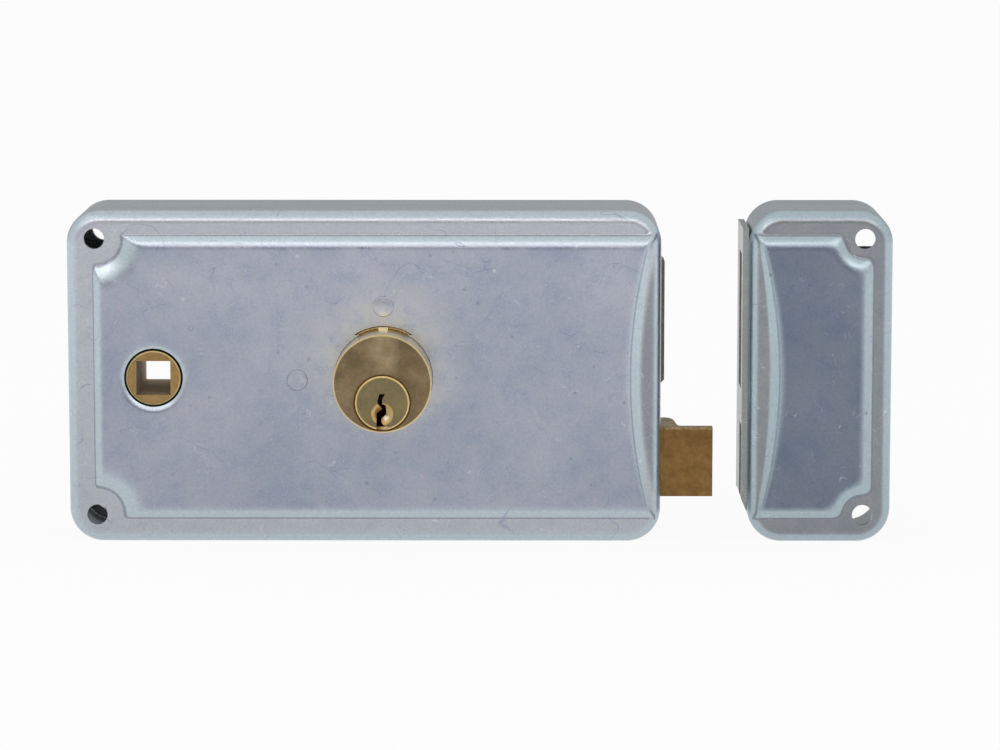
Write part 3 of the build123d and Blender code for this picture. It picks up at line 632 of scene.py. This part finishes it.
cover_zinc = zinc(
    "zinc_plate",
    panel_dull=(0.36, 0.4, 0.49),
    panel_bright=(0.46, 0.485, 0.56),
    rim_colour=(0.53, 0.555, 0.6),
    slope_reflection=(0.53, 0.61, 0.665),
    seed=1.3,
    worn=(CYLINDER_X, 5.0),
    waist=(CASE_WIDTH / 2 - WAIST_INSET, 1, 0.6),
)
hole_x, hole_z = CASE_WIDTH / 2 - HOLE_INSET, HEIGHT / 2 - HOLE_INSET
cutters = [drill(-hole_x, side * hole_z, SCREW_HOLE) for side in (-1, 1)]
cutters.append(drill(HUB_X, 0, HUB_HOLE, 128))
cutters.append(drill(CYLINDER_X, 0, CYLINDER_HOLE, 160))
cutters.append(prism(arc(CYLINDER_X, 0, RECESS_RADIUS, 56, 124, 60)))
cutters += [drill(x, z, POST_HOLE) for x, z in (UPPER_POST, LEFT_POST)]
deadbolt_window = window((66, -17.3, -3.2), (72, -8.7, 28))
latch_window = window((66, -20.3, -29.65), (72, -3.2, -12.55))
cutters += [deadbolt_window, latch_window]
case_panel = {"rim": 6.2, "slope": 1.5, "cut": 6.3, "cut_slope": 3.35, "swing": 0.42}
cover = settle(pressing("case_cover", 0, CASE_WIDTH, case_panel, cutters), cutters)
dress(cover, cover_zinc)
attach(cover, "case")
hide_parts("front_case")

# Drawn-in lip. The stroke that pierces the follower's hole pulls the sheet in
# round it, so the hole has a rounded mouth 1.7 mm wide and 0.4 mm deep.
LIP_WIDTH = 1.68
LIP_DROP = 0.42
LIP_TAPER = 0.02
LIP_STEPS = 12


def turned(name, x, z, profile, sides=128):
    """Piece turned about the depth through x, z, from a run of (radius, depth) points.

    A run that starts on the axis stays open there; any other is closed to a ring.
    """
    mesh = bmesh.new()
    turns = [2 * math.pi * side / sides for side in range(sides)]
    rings = []
    for radius, depth in profile:
        if radius == 0:
            rings.append([mesh.verts.new((x * MM, -depth * MM, z * MM))] * sides)
            continue
        circle = [(x + radius * math.cos(turn), z + radius * math.sin(turn)) for turn in turns]
        rings.append([mesh.verts.new((px * MM, -depth * MM, pz * MM)) for px, pz in circle])
    closed = profile[0][0] != 0
    for ring in range(len(rings) if closed else len(rings) - 1):
        inner, outer = rings[ring], rings[(ring + 1) % len(rings)]
        for side in range(sides):
            after = (side + 1) % sides
            corners = []
            for vert in (inner[side], inner[after], outer[after], outer[side]):
                if vert not in corners:
                    corners.append(vert)
            mesh.faces.new(corners)
    bmesh.ops.recalc_face_normals(mesh, faces=mesh.faces)
    return object_of(name, mesh)


lip_run = []
for step in range(LIP_STEPS + 1):
    share = step / LIP_STEPS
    drop = LIP_DROP * (1 - math.cos(share * math.pi / 2)) ** 1.1
    lip_run.append((HUB_HOLE - LIP_WIDTH * share, FACE - drop))
lip_back = [(radius + LIP_TAPER, depth - SHEET) for radius, depth in lip_run[::-1]]
lip = settle(turned("follower_hole_lip", HUB_X, 0, lip_run + lip_back))
dress(lip, cover_zinc)
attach(lip, "case")

# Rivet heads. The spigots of both posts are set almost flush in the panel: the upper
# one a little domed, the left one flat, both with a rounded edge.
HEAD_RADIUS = 2.4
HEAD_ROUND = 0.35
HEAD_SINK = 0.05
HEAD_SEAT = 0.6
HEAD_STEPS = 6
flat_radius = HEAD_RADIUS - HEAD_ROUND
for name, (post_x, post_z), crown, bulge in (
    ("upper_rivet_head", UPPER_POST, 0.1, 0.22),
    ("left_rivet_head", LEFT_POST, 0.14, 0.0),
):
    head_run = [(0, FACE + crown + bulge)]
    for step in range(1, HEAD_STEPS + 1):
        share = step / HEAD_STEPS
        head_run.append((flat_radius * share, FACE + crown + bulge * (1 - share**2)))
    for step in range(1, HEAD_STEPS + 1):
        turn = math.radians(90 * step / HEAD_STEPS)
        drop = (crown + HEAD_SINK) * (1 - math.cos(turn))
        head_run.append((flat_radius + HEAD_ROUND * math.sin(turn), FACE + crown - drop))
    head_run += [(HEAD_RADIUS, FACE - HEAD_SEAT), (0, FACE - HEAD_SEAT)]
    head = settle(turned(name, post_x, post_z, head_run, 64))
    dress(head, cover_zinc)
    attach(head, "case")

# Keeper box. The same pressing at a quarter of the width, with its waist towards
# the lock and an open left side, so both bolts can enter.
KEEPER_X = 107.5
KEEPER_WIDTH = 33.8
keeper_hole_x = KEEPER_X + KEEPER_WIDTH / 2 - HOLE_INSET
keeper_holes = [drill(keeper_hole_x, side * hole_z, SCREW_HOLE) for side in (-1, 1)]
open_side = window((88, -21, -30.15), (93, 1, 28.5))
keeper_holes.append(open_side)
keeper_panel = {"rim": 4.4, "slope": 2.1, "cut": 4.6, "cut_slope": 2.1, "swing": 1.2}
keeper = settle(
    pressing("keeper_box", KEEPER_X, KEEPER_WIDTH, keeper_panel, keeper_holes, mirrored=True),
    keeper_holes,
)
keeper_zinc = zinc(
    "keeper_zinc_plate",
    panel_dull=(0.165, 0.2, 0.265),
    panel_bright=(0.215, 0.25, 0.315),
    rim_colour=(0.32, 0.33, 0.34),
    slope_reflection=(0.45, 0.54, 0.59),
    seed=4.1,
    waist=(KEEPER_X - KEEPER_WIDTH / 2 + WAIST_INSET, -1, 0.0),
)
dress(keeper, keeper_zinc)
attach(keeper, "case")
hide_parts("keeper_shell")

# Keeper plate. Bent sheet on the keeper's open side, slotted for both bolts; its
# zinc is greyer and less blue than the box's.
plate_zinc = zinc(
    "keeper_inner_plate",
    panel_dull=(0.26, 0.28, 0.27),
    panel_bright=(0.34, 0.36, 0.34),
    rim_colour=(0.3, 0.32, 0.3),
    slope_reflection=(0.3, 0.32, 0.3),
    seed=5.9,
)
dress(nodes["keeper_plate"], plate_zinc)

# Steel inside and behind: back plate, guides, levers, tails, screws and rivets in
# plain zinc. Both posts show their ends in the panel, so they match the cover.
plain = zinc(
    "plain_zinc_plate",
    panel_dull=(0.5, 0.52, 0.55),
    panel_bright=(0.62, 0.63, 0.65),
    rim_colour=(0.55, 0.57, 0.59),
    slope_reflection=(0.5, 0.53, 0.56),
    seed=7.7,
)
for record_part in frame["record"]["subparts"]:
    if record_part["material_slot"] in ("plain_steel", "spring_steel"):
        dress(nodes[record_part["node"]], plain)
for post in ("bolt_guide_post", "lever_pivot_post"):
    dress(nodes[post], cover_zinc)

# Latch spring. Spring steel wire 0.8 mm thick, wound in eight turns between its guide
# and the latch's tongue.
coil_tree = bpy.data.node_groups.new("wound_wire", "GeometryNodeTree")
coil_sizes = {}
for label, default in (
    ("Turns", 8.0),
    ("Coil Radius", 3.1 * MM),
    ("Wire Radius", 0.4 * MM),
    ("Length", 25.18 * MM),
    ("Foot X", 21.96 * MM),
):
    size = coil_tree.interface.new_socket(label, in_out="INPUT", socket_type="NodeSocketFloat")
    size.default_value = default
    coil_sizes[size.identifier] = default
coil_tree.interface.new_socket("Geometry", in_out="OUTPUT", socket_type="NodeSocketGeometry")
sizes_in = coil_tree.nodes.new("NodeGroupInput").outputs
spiral = add_node(
    coil_tree,
    "GeometryNodeCurveSpiral",
    ("Resolution", 40),
    ("Rotations", sizes_in["Turns"]),
    ("Start Radius", sizes_in["Coil Radius"]),
    ("End Radius", sizes_in["Coil Radius"]),
    ("Height", sizes_in["Length"]),
)
section = add_node(
    coil_tree,
    "GeometryNodeCurvePrimitiveCircle",
    ("Resolution", 14),
    ("Radius", sizes_in["Wire Radius"]),
)
wound = add_node(
    coil_tree,
    "GeometryNodeCurveToMesh",
    ("Curve", spiral.outputs[0]),
    ("Profile Curve", section.outputs[0]),
    ("Fill Caps", True),
)
foot_place = add_node(
    coil_tree,
    "ShaderNodeCombineXYZ",
    ("X", sizes_in["Foot X"]),
    ("Y", -16.25 * MM),
    ("Z", -21.1 * MM),
)
laid = add_node(
    coil_tree,
    "GeometryNodeTransform",
    ("Geometry", wound.outputs[0]),
    ("Translation", foot_place.outputs[0]),
    ("Rotation", (0, math.pi / 2, 0)),
)
solid_coil = add_node(coil_tree, "GeometryNodeRealizeInstances", ("Geometry", laid.outputs[0]))
shaded_coil = add_node(
    coil_tree,
    "GeometryNodeSetMaterial",
    ("Geometry", solid_coil.outputs[0]),
    ("Material", plain),
)
coil_out = coil_tree.nodes.new("NodeGroupOutput")
coil_tree.links.new(shaded_coil.outputs[0], coil_out.inputs[0])
coil_mesh = bpy.data.meshes.new("coiled_latch_spring")
coil = bpy.data.objects.new("coiled_latch_spring", coil_mesh)
scene.collection.objects.link(coil)
winding = coil.modifiers.new("winding", "NODES")
winding.node_group = coil_tree
for identifier, default in coil_sizes.items():
    winding[identifier] = default
settle(coil)
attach(coil, "case")
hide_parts("latch_spring")
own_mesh(coil)

# Cylinder. Turned brass barrel and plug: the faces are tarnished olive with faint
# turning marks, and their broken edges stay bright. Behind the recess above the
# barrel stands the collar of the brass bracket that backs it.
PLUG_Z = -4.5
CONE_DENT = (1.2, -3.8)
LIT_BRASS = (0.56, 0.42, 0.25)
FRESH_BRASS = (0.58, 0.39, 0.165)
# Painted highlight: the glint at the cone's dent
DENT_GLINT = (0.95, 0.9, 0.8)
# Colour of the barrel inside a circle round the plug, made darker
DARK_CIRCLE_COLOUR = (0.1, 0.045, 0.015)


def turned_brass(
    name,
    face_dull,
    face_bright,
    edge,
    deep,
    centre,
    face_radius,
    face,
    floor,
    roughness,
    seed,
    sector=0.0,
    left_deep=None,
    dark_circle=None,
    gap_shade=None,
):
    """Brass turned about an axis along the depth through the centre (x, z), sizes in mm.

    The face carries turning marks; beyond face_radius it takes the edge colour, below
    the face it is fresh brass and below the floor it takes the deep colour. Sector lights
    a wedge above the middle. Left_deep colours the left half of the deep part and adds
    a painted glint at the cone's dent. Dark_circle is the (x, z, radius) of a circle
    made darker. Gap_shade is the colour of painted shade in the gap round the deep part.
    """
    made, tree, shader, place = metal(name, face_dull, roughness)
    middle = add_node(
        tree,
        "ShaderNodeVectorMath",
        (0, place),
        (1, (centre[0] * MM, 0, centre[1] * MM)),
        operation="SUBTRACT",
    ).outputs[0]
    axes = add_node(tree, "ShaderNodeSeparateXYZ", (0, middle)).outputs
    flat = add_node(
        tree, "ShaderNodeCombineXYZ", ("X", axes["X"]), ("Z", axes["Z"])
    ).outputs[0]
    radius = add_node(tree, "ShaderNodeVectorMath", (0, flat), operation="LENGTH").outputs["Value"]

    # Sheen that follows the turning marks
    round_way = add_node(
        tree, "ShaderNodeVectorMath", (0, flat), (1, (0, 1, 0)), operation="CROSS_PRODUCT"
    ).outputs[0]
    along = add_node(
        tree, "ShaderNodeVectorMath", (0, round_way), operation="NORMALIZE"
    ).outputs[0]
    shader.inputs["Anisotropic"].default_value = 0.55
    tree.links.new(along, shader.inputs["Tangent"])

    # Tarnished face with its marks and a wedge of light above the middle
    shifted = moved(tree, place, (seed, seed, seed))
    stain = clouds_of(tree, shifted, 160.0, 4.0, 0.6)
    fine = clouds_of(tree, shifted, 1300.0, 2.0, 0.6)
    rings = add_node(
        tree,
        "ShaderNodeTexNoise",
        ("W", radius),
        ("Scale", 5200.0),
        ("Detail", 2.0),
        noise_dimensions="1D",
    ).outputs[0]
    body = blend_of(tree, spread_of(tree, stain, 0.35, 0.65), face_dull, face_bright)
    body = blend_of(tree, spread_of(tree, rings, 0.35, 0.65, 0.0, 0.3), body, face_bright)
    lit = share_of(
        tree,
        spread_of(tree, off_zero(tree, axes["X"]), 1.2 * MM, 4.2 * MM, 1.0, 0.0),
        spread_of(tree, axes["Z"], 2 * MM, 5.5 * MM),
    )
    lit = share_of(tree, lit, spread_of(tree, stain, 0.3, 0.6, 0.25, 0.6))
    body = blend_of(tree, share_of(tree, lit, sector), body, LIT_BRASS)

    # Bright edge, fresh brass just under the face and the deep part
    outer = spread_of(tree, radius, (face_radius - 0.06) * MM, (face_radius + 0.06) * MM)
    body = blend_of(tree, outer, body, edge)
    fresh = spread_of(tree, axes["Y"], -(face - 0.08) * MM, -(face - 0.16) * MM)
    fresh = spread_of(tree, math_of(tree, fresh, outer, "SUBTRACT"), 0, 1)
    body = blend_of(tree, fresh, body, FRESH_BRASS)
    below = spread_of(tree, axes["Y"], -(floor + 0.15) * MM, -(floor - 0.15) * MM)
    if left_deep:
        across = spread_of(tree, axes["X"], -0.9 * MM, 0.7 * MM)
        deep = blend_of(tree, across, left_deep, deep)
        # Painted highlight: a glint at the cone's dent
        off_dent = distance_of(tree, flat, (CONE_DENT[0] * MM, 0, CONE_DENT[1] * MM))
        glint_share = spread_of(tree, off_dent, 0.45 * MM, 0.95 * MM, 0.85, 0.0)
        deep = blend_of(tree, glint_share, deep, DENT_GLINT)
    body = blend_of(tree, below, body, deep)
    # Painted shade in the gap round the deep part
    if gap_shade:
        round_it = spread_of(tree, radius, (face_radius - 0.3) * MM, face_radius * MM)
        body = blend_of(tree, share_of(tree, below, round_it), body, gap_shade)
        tree.links.new(spread_of(tree, below, 0, 1, roughness, 0.75), shader.inputs["Roughness"])
        tree.links.new(spread_of(tree, below, 0, 1, 1.0, 0.6), shader.inputs["Metallic"])
    # The barrel is darker inside a circle round the plug
    if dark_circle:
        circle_x, circle_z, circle_radius = dark_circle
        off_circle = distance_of(tree, flat, (circle_x * MM, 0, circle_z * MM))
        darkening = spread_of(
            tree, off_circle, (circle_radius + 0.12) * MM, (circle_radius + 0.38) * MM, 0.9, 0.0
        )
        body = blend_of(tree, darkening, body, DARK_CIRCLE_COLOUR)
    body = blend_of(tree, 1.0, body, spread_of(tree, fine, 0.25, 0.75, 0.88, 1.1), "MULTIPLY")
    finish_metal(tree, shader, body, rings, 0.1, 0.05 * MM)
    return made


barrel_brass = turned_brass(
    "barrel_brass",
    face_dull=(0.14, 0.104, 0.057),
    face_bright=(0.27, 0.2, 0.112),
    edge=(0.72, 0.57, 0.3),
    deep=(0.95, 0.84, 0.58),
    centre=(CYLINDER_X, 0),
    face_radius=11.2,
    face=37.1,
    floor=36.6,
    roughness=0.32,
    seed=2.0,
    sector=1.0,
    dark_circle=(0, PLUG_Z, 6.5),
)
plug_brass = turned_brass(
    "plug_brass",
    face_dull=(0.19, 0.155, 0.08),
    face_bright=(0.25, 0.2, 0.1),
    edge=(0.9, 0.66, 0.29),
    deep=(0.62, 0.45, 0.24),
    centre=(CYLINDER_X, PLUG_Z),
    face_radius=6.0,
    face=37.3,
    floor=36.6,
    roughness=0.32,
    seed=2.6,
    left_deep=(0.24, 0.13, 0.035),
)

# The collar has no turned face, so its face is set out of reach: all of it is fresh
# brass, and outside the recess it is painted dark as shade.
collar_brass = turned_brass(
    "collar_brass",
    face_dull=(0.35, 0.26, 0.14),
    face_bright=(0.45, 0.34, 0.19),
    # painted shade beyond the collar's edge
    edge=(0.03, 0.02, 0.012),
    deep=(0.35, 0.26, 0.14),
    centre=(CYLINDER_X, 0),
    face_radius=12.02,
    face=99,
    floor=0,
    roughness=0.4,
    seed=9.1,
)
dress(nodes["cylinder_body"], barrel_brass)
dress(nodes["cylinder_bracket"], collar_brass)
for turned_piece in ("plug", "key_pins", "driver_pins"):
    dress(nodes[turned_piece], plug_brass)

# Follower. Brass barrel with a square hole for the handle's spindle, golden on
# its face, bright at its turned edge, and painted dark with shade in the gap round its side.
hub_brass = turned_brass(
    "hub_brass",
    face_dull=(0.3, 0.19, 0.075),
    face_bright=(0.4, 0.26, 0.1),
    edge=(0.86, 0.66, 0.3),
    deep=(0.5, 0.4, 0.26),
    centre=(HUB_X, 0),
    face_radius=6.15,
    face=27.5,
    floor=27.0,
    roughness=0.34,
    seed=3.1,
    gap_shade=(0.02, 0.015, 0.01),
)
dress(nodes["hub"], hub_brass)

# Bolts. The latch is extruded brass, dull warm brown and scratched lengthwise;
# the deadbolt's end is painted darker, as shade. Both carry a painted highlight along their top
# edge.
BRASS_HAIR = (0.5, 0.38, 0.2)
# Painted highlight along the bolts' top edge
TOP_EDGE_HIGHLIGHT = (0.66, 0.5, 0.26)


def bar_brass(name, dull, bright, seed, top_z):
    """Extruded brass, streaked along the bolt, with a painted highlight at its top edge, top_z in
    mm.
    """
    made, tree, shader, place = metal(name, dull, 0.4)
    shifted = moved(tree, place, (seed, seed, seed), (0.25, 1, 1))
    streak = clouds_of(tree, shifted, 700.0, 4.0, 0.65)
    stain = clouds_of(tree, place, 120.0, 4.0, 0.6)
    fine = clouds_of(tree, place, 420.0, 5.0, 0.75)
    body = blend_of(tree, spread_of(tree, fine, 0.36, 0.66, 0.0, 0.8), dull, bright)
    body = blend_of(tree, spread_of(tree, streak, 0.4, 0.75, 0.0, 0.25), body, bright)
    body = blend_of(tree, spread_of(tree, stain, 0.45, 0.7, 0.0, 0.45), body, dull)
    hairs = hairs_of(tree, place, 170.0, 0.003, 0.56)
    body = blend_of(tree, share_of(tree, hairs, 0.25), body, BRASS_HAIR)
    level = add_node(tree, "ShaderNodeSeparateXYZ", (0, place)).outputs["Z"]
    # Painted highlight along the top edge
    top_highlight = spread_of(tree, level, (top_z - 0.7) * MM, (top_z - 0.15) * MM, 0.0, 0.45)
    top_highlight = share_of(tree, top_highlight, spread_of(tree, fine, 0.35, 0.55))
    body = blend_of(tree, top_highlight, body, TOP_EDGE_HIGHLIGHT)
    finish_metal(tree, shader, body, streak, 0.15, 0.1 * MM)
    return made


latch_brass = bar_brass(
    "latch_brass", dull=(0.17, 0.095, 0.033), bright=(0.32, 0.19, 0.066), seed=4.0, top_z=-12.85
)
# The deadbolt's darker colours are painted shade
deadbolt_brass = bar_brass(
    "deadbolt_brass", dull=(0.13, 0.11, 0.07), bright=(0.2, 0.17, 0.11), seed=5.0, top_z=28.0
)
dress(nodes["latch_head"], latch_brass)
dress(nodes["deadbolt_head"], deadbolt_brass)
